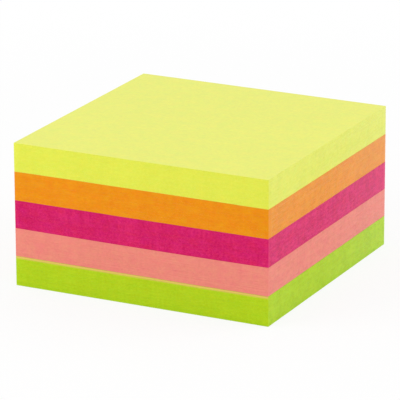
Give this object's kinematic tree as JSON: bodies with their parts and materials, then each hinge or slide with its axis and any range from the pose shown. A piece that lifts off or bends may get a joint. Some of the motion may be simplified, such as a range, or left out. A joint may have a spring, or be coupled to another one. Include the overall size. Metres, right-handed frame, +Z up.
{
  "type": "memo cube",
  "caption": "Square block of coloured note sheets, stacked flush as single-colour pads with flat cut sides, standing on its lowest sheet.",
  "frame": {"origin": "middle of the block's underside, where it stands", "axes": "+Z up through the stack of sheets, +X along the front cut side, +Y towards the back cut side"},
  "size_m": [0.075, 0.075, 0.04],
  "materials": {
    "green_paper": "matte",
    "salmon_paper": "matte",
    "magenta_paper": "matte",
    "orange_paper": "matte",
    "yellow_paper": "matte"
  },
  "bodies": {
    "root": {"green_pad": "green_paper", "salmon_pad": "salmon_paper", "magenta_pad": "magenta_paper", "orange_pad": "orange_paper", "yellow_pad": "yellow_paper"}
  },
  "joints": []
}
